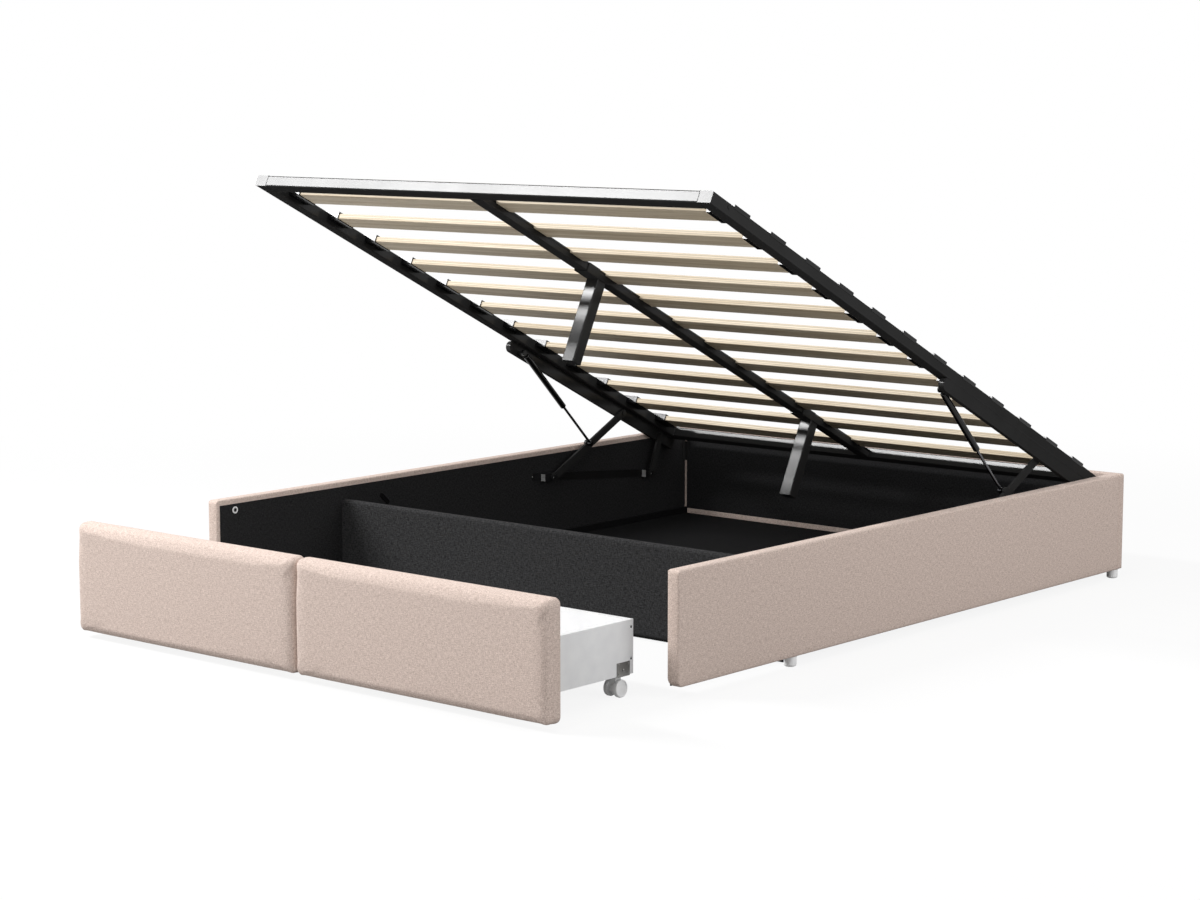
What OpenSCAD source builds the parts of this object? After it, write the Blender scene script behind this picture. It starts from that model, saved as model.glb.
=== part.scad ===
// Tatami platform bed: an upholstered box with a lift-up slatted platform,
// a storage bay behind a partition and two drawers that roll out at the foot end.
// Millimetres, +Z up, +Y towards the head panel, floor at Z = 0.
// Drawn with the platform lifted and both drawers rolled out.

/* [Bed box] */
// overall width across the side rails
bed_w = 1630; // [1200:5:2000]
// side length, from the rails' free ends to the head panel's outer face
rail_len = 2047; // [1850:1:2300]
// height of the rails' top edge above the floor
rail_top = 303; // [280:1:380]
// thickness of rails and head panel, lining included
panel_t = 36; // [26:1:60]
// thickness of the black lining
lining_t = 3; // [1:0.5:6]
// depth of cover fabric turned over the inside of a rail's top edge
wrap_w = 15; // [8:1:40]
// depth of cover fabric turned over the inside of a rail's free end
end_wrap_w = 12; // [8:1:40]
// depth of cover fabric turned over the inside of the head panel's top edge
head_wrap_w = 39; // [15:1:60]
// uncovered strip below the head panel's lining
head_strip_h = 17; // [5:1:30]
// uncovered strip between the head panel's lining and each rail
head_strip_w = 8; // [3:1:20]
// rounding of the outer edges along rails and head panel
edge_r = 7; // [3:1:14]
// rounding of the inner top edges of rails and head panel
inner_edge_r = 5; // [2:1:12]
// rounding of the head panel's rear edges
head_r = 15; // [6:1:24]
// rounding of the upper corner of a rail's free end
end_top_r = 10; // [4:1:30]
// rounding of the lower corner of a rail's free end
end_r = 18; // [4:1:30]

/* [Feet and fittings] */
// foot height
foot_h = 25; // [15:1:60]
// foot diameter
foot_d = 32; // [20:1:36]
// rounding at the foot's lower edge
foot_r = 6; // [1:1:10]
// distance of the front feet from the rails' free ends
foot_front_u = 457.5; // [200:0.5:900]
// distance of the rear feet from the head panel's outer face
foot_rear_u = 33.5; // [20:0.5:300]
// flange diameter of the threaded inserts in the rails
insert_d = 19; // [9:0.5:20]
// bore diameter of the inserts
insert_bore = 8; // [4:0.5:8]
// barrel diameter of the inserts
insert_barrel_d = 12; // [8:0.5:12]
// depth of the inserts in the rail
insert_l = 16; // [8:1:24]
// flange thickness of the inserts
insert_flange_t = 1.5; // [0.5:0.5:2]
// distance of the inserts from the rails' free ends
insert_u = 66.5; // [40:0.5:200]
// height of the inserts above the floor
insert_z = 271; // [150:1:280]
// leg length of the corner angles
angle_w = 16; // [12:1:60]
// sheet thickness of the corner angles
angle_t = 2.5; // [1:0.5:2.5]
// lower and upper edge of the corner angles above the floor
angle_z = 199; // [80:1:220]
// height of the corner angles
angle_h = 61; // [30:1:65]
// length of the short tie on the left rail
tie_l = 44; // [20:1:80]
// width of the tie
tie_w = 12; // [6:1:20]
// thickness of the tie
tie_t = 3; // [1:0.5:5]
// distance of the tie's middle from the rails' free ends
tie_u = 635; // [560:1:900]
// height of the tie's middle above the floor
tie_z = 235; // [120:1:240]
// slope of the tie
tie_a = 42; // [0:1:90]

/* [Storage bay] */
// distance of the partition's front face from the rails' free ends
part_u = 466.5; // [420:0.5:700]
// partition thickness
part_t = 22; // [12:1:40]
// height of the partition's top above the floor
part_top = 253; // [120:1:255]
// height of the partition's lower edge above the floor
part_gap = 4; // [2:1:20]
// height of the trim band along the partition's lower edge
band_h = 10; // [5:1:20]
// how far the trim band stands out from the partition
band_t = 1.5; // [0.5:0.5:3]
// thickness of the storage floor panel
floor_t = 10; // [4:1:15]
// height of the battens below the storage floor panel
batten_h = 16; // [8:1:30]
// batten width
batten_w = 60; // [30:1:120]
// number of battens
batten_n = 4; // [2:1:8]
// how far the battens end inside the rails
batten_in = 110; // [20:1:200]
// height of the cleats along the rails, above the floor panel
cleat_h = 20; // [10:1:40]
// cleat width
cleat_w = 10; // [5:1:30]

/* [Platform frame] */
// gap between the lowered platform and the bed box, at its foot edge and at its head edge
plat_end_gap = 18; // [10:0.5:40]
// gap between the platform and each rail's lining
plat_gap = 3; // [2:0.5:8]
// tube width
tube_w = 40; // [30:1:60]
// tube height
tube_h = 30; // [25:1:50]
// tube wall
tube_wall = 2; // [1:0.1:4]
// tube corner radius
tube_r = 3; // [1:0.5:6]
// length of the plugs in the ends of the side tubes
plug_l = 12; // [5:1:30]
// lift angle of the platform
tilt = 26; // [18:0.5:32]
// distance of the platform's head edge from the head panel's outer face, lifted
lift_back = 114.382; // [60:0.001:160]
// height of the platform's head edge above the floor, lifted
lift_z = 275.817; // [266:0.001:330]
// bolt head diameter
bolt_d = 11; // [6:0.5:16]
// bolt head height
bolt_h = 1.5; // [0.5:0.5:2]
// distance of the bolts from the tubes' foot ends
bolt_s = 70; // [50:1:85]
// height of the bolts above the tubes' lower face
bolt_n = 20; // [10:1:22]

/* [Slats] */
// number of slats
slat_n = 12; // [6:1:14]
// slat width
slat_w = 60; // [40:1:80]
// slat thickness
slat_t = 15; // [8:0.5:18]
// rounding of the slats' long edges
slat_r = 2; // [0.5:0.5:4]
// distance from the foot edge to the first slat
slat_s = 90.5; // [70:0.1:160]
// distance from the last slat to the head edge
slat_end = 88.7; // [60:0.1:160]
// height of the slats' underside above the tubes' lower face
slat_z = 15.5; // [10:0.1:18]
// reach of a slat holder's pocket inwards from the tube
pocket_l = 39; // [20:1:60]
// wall of the slat holders
holder_wall = 3; // [1.5:0.1:5]
// thickness of the holders' floor
holder_floor = 2.5; // [1.5:0.1:5]
// thickness of the holders' top, over the slat and over the tube
holder_top = 4; // [2:0.1:6]
// thickness of the holders' lip outside the tube
lip_t = 1; // [0.5:0.1:1.5]
// depth of the holders' lip outside the tube
lip_h = 6; // [3:1:15]
// running clearance between a slat and its seat
slat_fit = 0.3; // [0.2:0.05:1]

/* [Centre beam and legs] */
// beam width
beam_w = 40; // [25:1:60]
// beam wall
beam_wall = 2; // [1:0.1:4]
// beam corner radius
beam_r = 2; // [1:0.5:4]
// height of the strip on top of the beam
spacer_h = 6.7; // [2:0.1:12]
// leg width across the bed
leg_w = 40; // [25:1:60]
// leg depth along the bed
leg_d = 36; // [25:1:60]
// leg wall
leg_wall = 2; // [1:0.1:4]
// reach of the legs below the platform tubes
leg_l = 235.5; // [150:0.5:238]
// thickness of the legs' end caps
leg_cap = 2.5; // [1:0.5:6]
// distance from the foot edge to the first leg
leg1_s = 541; // [520:1:900]
// distance from the head edge to the second leg
leg2_e = 364; // [300:1:640]
// length of the U brackets that hold the legs
brk_l = 98; // [60:1:140]
// how far a U bracket runs past its leg towards the head
brk_past = 9; // [2:1:30]
// sheet thickness of the U brackets
brk_t = 3; // [2:0.5:5]
// height of the U brackets' front ears above the beam's lower face
brk_ear = 22; // [15:1:30]
// length of the front ears
brk_ear_l = 48; // [20:1:60]

/* [Lift mechanism] */
// width of the lift bars below the side tubes
bar_w = 16; // [12:0.5:24]
// height of the lift bars
bar_h = 34; // [28:1:50]
// wall of the lift bars
bar_wall = 2; // [1:0.1:4]
// length of the lift bars
bar_l = 861.5; // [600:0.5:950]
// play between a lift bar and the fixed base bar
bar_play = 0.5; // [0.3:0.1:2]
// thickness of the base bars on the rails
base_t = 3; // [2:0.5:3]
// height of the base bars and pivot blocks
base_h = 22; // [16:1:22]
// length of a base bar ahead of its first pivot
base_front = 75; // [60:1:200]
// length of a base bar behind its second pivot
base_rear = 20; // [16:1:60]
// length of the first pivot block ahead of its pin
block_front = 36; // [14:1:60]
// length of the second pivot block ahead of its pin
block2_front = 22.5; // [14:0.5:60]
// length of the pivot blocks behind their pins
block_rear = 14; // [11:1:30]
// distance of the front arms' fixed pivots from the head panel's outer face
arm_back = 704.643; // [600:0.001:800]
// height of the front arms' fixed pivots
arm_z = 220; // [200:1:220]
// distance of the rear arms' fixed pivots from the head panel's outer face
rear_back = 236.802; // [170:0.001:340]
// height of the rear arms' fixed pivots
rear_z = 180; // [120:1:190]
// distance of the front arms' upper pivots from the platform's head edge
arm_e = 285.213; // [230:0.001:400]
// distance of the rear arms' upper pivots from the platform's head edge
rear_e = 80; // [45:0.5:160]
// arm width
arm_w = 22; // [16:1:28]
// arm thickness
arm_t = 8; // [4:0.5:10]
// pin diameter
pin_d = 10; // [6:0.5:14]
// radial running clearance on the pins
pin_fit = 0.05; // [0.01:0.01:0.1]
// diameter of pin and rivet heads
head_d = 16; // [12:0.5:20]
// thickness of pin and rivet heads
head_t = 2; // [1:0.5:3]
// side play of the arms
side_play = 0.5; // [0.3:0.1:1]

/* [Gas springs] */
// distance of the upper eyes from the platform's head edge
gas_e = 815; // [700:1:840]
// depth of the upper eyes below the side tubes
gas_n = 22; // [12:0.5:24]
// place of the lower eyes along the front arms
gas_r = 177; // [120:1:240]
// height of the lower eyes above the arms' centre line
gas_up = 10; // [0:1:12]
// cylinder diameter
gas_d = 18; // [14:0.5:28]
// cylinder bore
gas_bore = 15; // [10:0.5:24]
// cylinder length from the upper eye
gas_l = 253; // [180:1:300]
// length of the gland at the cylinder's open end
gland_l = 13; // [6:1:30]
// rod diameter
rod_d = 8; // [6:0.5:12]
// length of rod and piston inside the cylinder, lifted
rod_in = 66; // [30:1:100]
// piston length
piston_l = 8; // [4:1:20]
// eye diameter
eye_d = 17; // [14:0.5:24]
// eye width
eye_w = 8; // [4:0.5:12]
// play between a gas spring and the arm beside it
gas_play = 1; // [0.5:0.1:3]
// gap beside the lower eyes
eye_gap = 0.8; // [0.5:0.1:2]
// how far the collar at the lower eye stands out from it
collar_over = 0.4; // [0.1:0.1:0.4]

/* [Drawers] */
// how far the drawers stand out when rolled out
draw_open = 403.5; // [200:0.5:440]
// thickness of the padded fronts
pad_t = 50; // [35:1:80]
// gap between the two fronts
pad_split = 2; // [1:0.5:10]
// how far the fronts stay inside the rails' outer faces
pad_side = 5; // [2:1:30]
// height of the fronts' lower edge above the floor
pad_z = 14.5; // [10:0.5:45]
// height of the fronts
pad_h = 285; // [220:1:320]
// rounding of a front's edge
pad_r = 20; // [8:1:22]
// rise of a front's padding in the middle
pad_crown = 7; // [2:1:12]
// rounding of a front's corners seen from ahead
pad_corner = 17; // [10:1:60]
// thickness of the board in each front
board_t = 12; // [6:1:18]
// how far the board stays inside the padding's outline
board_in = 16; // [8:1:30]
// inset of each drawer box from the front's ends
box_in = 103; // [60:1:160]
// height of the drawer boxes' lower edge above the floor
box_z = 53; // [48:1:70]
// height of the drawer boxes
box_h = 129; // [90:1:150]
// depth of the drawer boxes
box_l = 368; // [200:1:420]
// thickness of the drawer boxes' sides
box_t = 15; // [9:1:20]
// thickness of the drawer bottoms
base_board_t = 6; // [3:1:10]
// height of a drawer bottom above its sides' lower edge
base_board_z = 8; // [2:1:20]
// diameter of the screw holes in the drawer sides
screw_d = 6; // [3:0.5:8]
// depth of the screw holes
screw_deep = 3; // [1:0.5:6]

/* [Casters] */
// wheel diameter
wheel_d = 42.5; // [30:0.5:46]
// wheel width
wheel_w = 12; // [8:0.5:16]
// rounding of the wheels' edges
wheel_r = 3; // [1:0.5:4]
// depth of the dish in the wheels' outer faces
wheel_dish = 1.5; // [0.5:0.5:3]
// width of the caster body between the wheels
hood_w = 16; // [8:0.5:24]
// diameter of the caster body round the axle
hood_d = 28; // [18:1:34]
// width of the caster body's neck
neck_w = 20; // [10:1:28]
// axle diameter
axle_d = 6; // [4:0.5:8]
// radial running clearance of the wheels
wheel_fit = 0.05; // [0.01:0.01:0.1]
// side play between wheel and caster body
wheel_play = 0.4; // [0.3:0.1:1]
// distance of the caster's middle from the drawer side
caster_in = 23; // [21:1:40]
// distance of the front casters from the padded front
caster_front = 80; // [30:1:140]
// distance of the rear casters from the rear end of the drawer box
caster_end = 37; // [30:1:80]
// width of the caster plates
plate_w = 45; // [30:1:60]
// height of the caster plates
plate_h = 34; // [20:1:50]
// sheet thickness of the caster plates
plate_t = 2; // [1:0.5:3]
// head diameter of the plate's screws
plate_screw_d = 5; // [3:0.5:8]

/* [Hidden] */
$fn = 64;
// length over all, drawers out
total_l = rail_len + draw_open + pad_t;
y_head = total_l / 2;
y_front = y_head - rail_len;
y_in = y_head - panel_t;
y_foot = -total_l / 2;
x_out = bed_w / 2;
x_in = x_out - panel_t;
x_core = x_in + lining_t;
y_part = y_front + part_u;
y_bay = y_part + part_t;
floor_z = batten_h + floor_t;
// planes of the lift mechanism, from the rail inwards
plat_l = rail_len - panel_t - 2 * plat_end_gap;
plat_x = x_in - plat_gap;
tube_x = plat_x - tube_w;
blk_out = x_in - base_t;
bar_out = blk_out - bar_play;
bar_in = bar_out - bar_w;
arm_out = bar_in - side_play;
arm_in = arm_out - arm_t;
gas_x = arm_in - gas_play - gas_d / 2;
// pivots seen from the side, as [y, z]
pa = [y_head - arm_back, arm_z];
pb = [y_head - rear_back, rear_z];
po = [y_head - lift_back - plat_l * cos(tilt), lift_z + plat_l * sin(tilt)];
function lifted(s, n) = po + [s * cos(tilt) + n * sin(tilt), -s * sin(tilt) + n * cos(tilt)];
pc = lifted(plat_l - arm_e, -bar_h / 2);
pd = lifted(plat_l - rear_e, -bar_h / 2);
pe = lifted(plat_l - gas_e, -gas_n);
arm_dir = (pc - pa) / norm(pc - pa);
pf = pa + gas_r * arm_dir + gas_up * [-arm_dir.y, arm_dir.x];
gas_len = norm(pf - pe);
gas_a = atan2(pf.y - pe.y, pf.x - pe.x);
// slats and their holders
slat_pitch = (plat_l - slat_s - slat_w - slat_end) / (slat_n - 1);
leg2_s = plat_l - leg2_e;
bar_s = plat_l - bar_l;
slot_w = slat_w + 2 * slat_fit;
holder_l = slot_w + 2 * holder_wall;
slot_z = slat_z - slat_fit;
slot_top = slat_z + slat_t + slat_fit;
cap_top = max(tube_h, slot_top) + holder_top;
slat_half = plat_x - tube_w - slat_fit;
beam_h = slat_z - slat_fit;
beam_l = plat_l - 2 * tube_w;
// drawers
pad_x0 = pad_split / 2;
pad_x1 = x_out - pad_side;
box_x0 = pad_x0 + box_in;
box_x1 = pad_x1 - box_in;
y_box = y_foot + pad_t;
base_z = box_z + base_board_z;
axle_z = wheel_d / 2;
wheel_x = hood_w / 2 + wheel_play;

// which part to draw

// ---- helpers ----

// what a rounded inner corner takes away at the origin
module corner_cut(r) {
  difference() {
    translate([-1, -1]) square(r + 1);
    translate([r, r]) circle(r);
  }
}

// rounded rectangle from the origin
module round_rect(w, h, r) {
  difference() {
    square([w, h]);
    corner_cut(r);
    translate([w, 0]) mirror([1, 0]) corner_cut(r);
    translate([0, h]) mirror([0, 1]) corner_cut(r);
    translate([w, h]) rotate(180) corner_cut(r);
  }
}

// a side view in Y and Z, drawn through along X
module along_x(x, t) {
  translate([x, 0, 0]) rotate([90, 0, 90]) linear_extrude(t) children();
}

// a cross-section in X and Z, drawn through along Y
module along_y(y, l) {
  translate([0, y + l, 0]) rotate([90, 0, 0]) linear_extrude(l) children();
}

// a cylinder along X at a side-view point
module rod_x(p, x, l, d) {
  translate([x, p.x, p.y]) rotate([0, 90, 0]) cylinder(d = d, h = l);
}

// a flat bar with round ends between two side-view points
module bar_2d(p, q, w) {
  translate(p) rotate(atan2(q.y - p.y, q.x - p.x)) {
    translate([0, -w / 2]) square([norm(q - p), w]);
    circle(d = w);
    translate([norm(q - p), 0]) circle(d = w);
  }
}

// the right-hand piece as drawn, or its mirror image
module on_side(side) {
  if (side == "left") mirror([1, 0, 0]) children();
  else children();
}

// the platform's own frame: Y runs from its foot edge, Z up from the tubes' lower face
module platform_pose() {
  translate([0, po.x, po.y]) rotate([-tilt, 0, 0]) children();
}

// ---- bed box ----

module side_rail(side) {
  color("#cdb9ac") on_side(side) difference() {
    intersection() {
      along_y(y_front, rail_len - panel_t) difference() {
        translate([x_in, foot_h]) square([panel_t, rail_top - foot_h]);
        translate([x_out, rail_top]) rotate(180) corner_cut(edge_r);
        translate([x_out, foot_h]) mirror([1, 0]) corner_cut(edge_r);
        translate([x_in, rail_top]) mirror([0, 1]) corner_cut(inner_edge_r);
      }
      linear_extrude(rail_top) difference() {
        translate([x_in, y_front]) square([panel_t, rail_len]);
        translate([x_out, y_front]) mirror([1, 0]) corner_cut(edge_r);
      }
      along_x(x_in - 1, panel_t + 2) difference() {
        translate([y_front, foot_h]) square([rail_len, rail_top - foot_h]);
        translate([y_front, foot_h]) corner_cut(end_r);
        translate([y_front, rail_top]) mirror([0, 1]) corner_cut(end_top_r);
      }
    }
    rail_recess(x_in - 1, lining_t + 1, 1);
    rod_x([y_front + insert_u, insert_z], x_in - 1, insert_l + 1, insert_barrel_d);
  }
}

// where the lining lies in the rail's inner face
module rail_recess(x, t, over = 0) {
  translate([x, y_front + end_wrap_w, foot_h - over])
    cube([t, rail_len - panel_t - end_wrap_w + over, rail_top - wrap_w - foot_h + over]);
}

module rail_lining(side) {
  color("#2b2a2a") on_side(side) difference() {
    rail_recess(x_in, lining_t);
    rod_x([y_front + insert_u, insert_z], x_in - 1, lining_t + 2, insert_barrel_d);
  }
}

module head_panel() {
  color("#cdb9ac") difference() {
    intersection() {
      along_x(-x_out, bed_w) difference() {
        translate([y_in, foot_h]) square([panel_t, rail_top - foot_h]);
        translate([y_head, rail_top]) rotate(180) corner_cut(head_r);
        translate([y_head, foot_h]) mirror([1, 0]) corner_cut(head_r);
        translate([y_in, rail_top]) mirror([0, 1]) corner_cut(inner_edge_r);
      }
      linear_extrude(rail_top) difference() {
        translate([-x_out, y_in]) square([bed_w, panel_t]);
        for (m = [0, 1]) mirror([m, 0]) translate([x_out, y_head]) rotate(180) corner_cut(head_r);
      }
      along_y(y_in, panel_t) difference() {
        translate([-x_out, foot_h]) square([bed_w, rail_top - foot_h]);
        for (m = [0, 1]) mirror([m, 0]) {
          translate([x_out, rail_top]) rotate(180) corner_cut(edge_r);
          translate([x_out, foot_h]) mirror([1, 0]) corner_cut(edge_r);
        }
      }
    }
    head_recess(y_in - 1, lining_t + 1);
  }
}

module head_recess(y, t) {
  translate([-x_in + head_strip_w, y, foot_h + head_strip_h])
    cube([2 * (x_in - head_strip_w), t, rail_top - head_wrap_w - foot_h - head_strip_h]);
}

module head_lining() {
  color("#2b2a2a") head_recess(y_in, lining_t);
}

module partition() {
  color("#2e2d2d") along_x(-x_in, 2 * x_in) union() {
    difference() {
      translate([y_part, part_gap]) square([part_t, part_top - part_gap]);
      translate([y_part, part_top]) mirror([0, 1]) corner_cut(part_t / 2);
      translate([y_bay, part_top]) rotate(180) corner_cut(part_t / 2);
    }
    translate([y_part - band_t, part_gap]) square([part_t + band_t, band_h]);
  }
}

module storage_floor() {
  color("#242323") translate([-x_in, y_bay, batten_h])
    cube([2 * x_in, y_in - y_bay, floor_t]);
}

module floor_battens() {
  bay_l = y_in - y_bay;
  step = (bay_l - batten_w - 120) / (batten_n - 1);
  color("#3a332d") for (i = [0 : batten_n - 1])
    translate([-x_in + batten_in, y_bay + 60 + i * step, 0])
      cube([2 * (x_in - batten_in), batten_w, batten_h]);
}

module floor_cleats() {
  color("#242323") for (m = [0, 1]) mirror([m, 0, 0])
    translate([x_in - cleat_w, y_bay, floor_z]) cube([cleat_w, y_in - y_bay, cleat_h]);
}

module feet() {
  foot_x = x_out - panel_t / 2;
  color("#eceae6") for (sx = [-1, 1], y = [y_front + foot_front_u, y_head - foot_rear_u])
    translate([sx * foot_x, y, 0]) rotate_extrude() difference() {
      square([foot_d / 2, foot_h]);
      translate([foot_d / 2, 0]) mirror([1, 0]) corner_cut(foot_r);
    }
}

module corner_angles() {
  color("#1c1c1c") for (m = [0, 1]) mirror([m, 0, 0]) translate([0, 0, angle_z]) {
    translate([x_in - angle_t, y_in - angle_w, 0]) cube([angle_t, angle_w, angle_h]);
    translate([x_in - angle_w, y_in - angle_t, 0]) cube([angle_w, angle_t, angle_h]);
  }
}

module rail_inserts() {
  p = [y_front + insert_u, insert_z];
  color("#e4e2de") for (m = [0, 1]) mirror([m, 0, 0]) difference() {
    union() {
      rod_x(p, x_in, insert_l, insert_barrel_d);
      rod_x(p, x_in - insert_flange_t, insert_flange_t, insert_d);
    }
    rod_x(p, x_in - insert_flange_t - 1, insert_l + insert_flange_t - 1, insert_bore);
  }
}

module rail_tie() {
  run = (tie_l - tie_w) / 2 * [cos(tie_a), -sin(tie_a)];
  mid = [y_front + tie_u, tie_z];
  color("#3a3a3a") on_side("left") along_x(x_in - tie_t, tie_t) bar_2d(mid - run, mid + run, tie_w);
}

// ---- fixed half of the lift mechanism ----

module base_bar(side) {
  dir = (pb - pa) / norm(pb - pa);
  color("#1d1d1d") on_side(side) union() {
    along_x(blk_out, base_t)
      bar_2d(pa - (base_front - base_h / 2) * dir, pb + (base_rear - base_h / 2) * dir, base_h);
    pivot_block(pa, block_front);
    pivot_block(pb, block2_front);
  }
}

module pivot_block(p, front) {
  along_x(bar_in, blk_out - bar_in)
    translate([p.x - front, p.y - base_h / 2]) square([front + block_rear, base_h]);
  rod_x(p, arm_in - side_play, bar_in - arm_in + side_play + 1, pin_d);
  rod_x(p, arm_in - side_play - head_t, head_t, head_d);
}

// ---- platform ----

module side_tube(side) {
  color("#202020") platform_pose() on_side(side) along_y(0, plat_l) difference() {
    translate([tube_x, 0]) round_rect(tube_w, tube_h, tube_r);
    translate([tube_x + tube_wall, tube_wall])
      square([tube_w - 2 * tube_wall, tube_h - 2 * tube_wall]);
  }
}

module end_tube(s) {
  color("#202020") platform_pose() along_x(-tube_x, 2 * tube_x) difference() {
    translate([s, 0]) round_rect(tube_w, tube_h, tube_r);
    translate([s + tube_wall, tube_wall])
      square([tube_w - 2 * tube_wall, tube_h - 2 * tube_wall]);
  }
}

module tube_plugs() {
  color("#d8d8d6") platform_pose() for (m = [0, 1], s = [0, plat_l - plug_l]) mirror([m, 0, 0])
    translate([tube_x + tube_wall, s, tube_wall])
      cube([tube_w - 2 * tube_wall, plug_l, tube_h - 2 * tube_wall]);
}

module centre_beam() {
  color("#202020") platform_pose() along_y(tube_w, beam_l) difference() {
    translate([-beam_w / 2, 0]) round_rect(beam_w, beam_h, beam_r);
    translate([-beam_w / 2 + beam_wall, beam_wall])
      square([beam_w - 2 * beam_wall, beam_h - 2 * beam_wall]);
  }
}

// the strip on top of the beam, which the slats are notched over
module beam_strip() {
  color("#202020") platform_pose() translate([-beam_w / 2, tube_w, beam_h])
    cube([beam_w, beam_l, spacer_h]);
}

module legs() {
  color("#202020") platform_pose() for (s = [leg1_s, leg2_s])
    translate([-leg_w / 2, s, -leg_l]) difference() {
      linear_extrude(leg_l - brk_t) round_rect(leg_w, leg_d, tube_r);
      translate([leg_wall, leg_wall, leg_cap])
        cube([leg_w - 2 * leg_wall, leg_d - 2 * leg_wall, leg_l]);
    }
}

module leg_brackets() {
  half = beam_w / 2 + brk_t;
  rim = beam_h - slat_fit;
  color("#202020") platform_pose() for (s = [leg1_s, leg2_s]) {
    start = s + leg_d + brk_past - brk_l;
    // the ears stand in the gap between two slats
    gap = floor((start - slat_s) / slat_pitch);
    ear = max(start, slat_s + gap * slat_pitch + slat_w + slat_fit);
    ear_end = min(ear + brk_ear_l, slat_s + (gap + 1) * slat_pitch - slat_fit, start + brk_l);
    translate([-half, start, -brk_t]) cube([2 * half, brk_l, brk_t]);
    for (m = [0, 1]) mirror([m, 0, 0]) {
      translate([beam_w / 2, start, -brk_t]) cube([brk_t, brk_l, brk_t + rim]);
      translate([beam_w / 2, ear, -brk_t]) cube([brk_t, ear_end - ear, brk_t + brk_ear]);
    }
  }
}

module slats() {
  notch = beam_w / 2 + slat_fit;
  color("#e9dcc0") platform_pose() difference() {
    for (i = [0 : slat_n - 1])
      along_x(-slat_half, 2 * slat_half) translate([slat_s + i * slat_pitch, slat_z])
        round_rect(slat_w, slat_t, slat_r);
    translate([-notch, tube_w, slat_z - 1])
      cube([2 * notch, beam_l, beam_h + spacer_h + slat_fit - slat_z + 1]);
  }
}

module slat_holder() {
  difference() {
    union() {
      translate([tube_x - pocket_l, 0, slot_z - holder_floor])
        cube([pocket_l, holder_l, cap_top - slot_z + holder_floor]);
      translate([tube_x - 1, 0, tube_h]) cube([tube_w + 1 + lip_t, holder_l, cap_top - tube_h]);
      translate([plat_x, 0, tube_h - lip_h]) cube([lip_t, holder_l, lip_h + 1]);
    }
    translate([tube_x - pocket_l - 1, holder_wall, slot_z])
      cube([pocket_l + 1, slot_w, slot_top - slot_z]);
  }
}

module slat_holders(side) {
  color("#1e1e1e") platform_pose() on_side(side) for (i = [0 : slat_n - 1])
    translate([0, slat_s - slat_fit - holder_wall + i * slat_pitch, 0]) slat_holder();
}

module frame_bolts() {
  color("#8f8f8f") platform_pose() for (m = [0, 1]) mirror([m, 0, 0])
    rod_x([bolt_s, bolt_n], plat_x, bolt_h, bolt_d);
}

module lift_bar(side) {
  mid = -bar_h / 2;
  color("#202020") platform_pose() on_side(side) union() {
    difference() {
      along_x(bar_in, bar_w) union() {
        translate([bar_s + bar_h / 2, -bar_h]) square([plat_l - bar_s - bar_h / 2, bar_h]);
        translate([bar_s + bar_h / 2, mid]) circle(d = bar_h);
        translate([bar_s + bar_h / 2, mid]) square([bar_h, bar_h / 2]);
      }
      translate([bar_in + bar_wall, bar_s + bar_h, -bar_h + bar_wall])
        cube([bar_w - 2 * bar_wall, plat_l, bar_h - 2 * bar_wall]);
    }
    lift_pin([plat_l - gas_e, -gas_n], gas_x - eye_w / 2);
    if (side == "left") lift_pin([plat_l - arm_e, mid], arm_in);
  }
}

// a pin from the lift bar's inner face through the piece whose inner face is at x
module lift_pin(p, x) {
  rod_x(p, x - side_play, bar_in - x + side_play + 1, pin_d);
  rod_x(p, x - side_play - head_t, head_t, head_d);
}

// ---- moving arms ----

module pin_hole(p) {
  rod_x(p, arm_in - 1, arm_t + 2, pin_d + 2 * pin_fit);
}

module rivet_head(p) {
  rod_x(p, arm_in - head_t, head_t + 1, head_d);
}

module front_arm(side) {
  color("#1d1d1d") on_side(side) difference() {
    union() {
      along_x(arm_in, arm_t) bar_2d(pa, pc, arm_w);
      rod_x(pf, arm_in, arm_t, eye_d + 3);
      rod_x(pf, gas_x + eye_w / 2 + eye_gap, arm_in - gas_x - eye_w / 2, pin_d);
      if (side == "right") rivet_head(pc);
    }
    pin_hole(pa);
    if (side == "left") pin_hole(pc);
  }
}

module rear_arm(side) {
  color("#1d1d1d") on_side(side) difference() {
    union() {
      along_x(arm_in, arm_t) bar_2d(pb, pd, arm_w);
      rivet_head(pd);
    }
    pin_hole(pb);
  }
}

// ---- gas springs, drawn along their own axis from the upper eye ----

module gas_pose(side) {
  on_side(side) translate([gas_x, pe.x, pe.y]) rotate([gas_a, 0, 0]) children();
}

module turned_y() {
  rotate([-90, 0, 0]) rotate_extrude() children();
}

module gas_cylinder(side) {
  base = eye_d / 2 + 6;
  color("#161616") gas_pose(side) difference() {
    union() {
      rod_x([0, 0], -eye_w / 2, eye_w, eye_d);
      turned_y() square([eye_w / 2, base + 1]);
      turned_y() translate([0, base]) difference() {
        square([gas_d / 2, gas_l - base]);
        translate([gas_d / 2, 0]) mirror([1, 0]) corner_cut(gas_d / 6);
        translate([gas_d / 2, gas_l - base]) rotate(180) corner_cut(gas_d / 12);
      }
    }
    turned_y() translate([0, base + 8]) square([gas_bore / 2, gas_l - gland_l - base - 8]);
    turned_y() translate([0, base + 9]) square([rod_d / 2 + pin_fit, gas_l]);
    rod_x([0, 0], -eye_w, 2 * eye_w, pin_d + 2 * pin_fit);
  }
}

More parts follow.
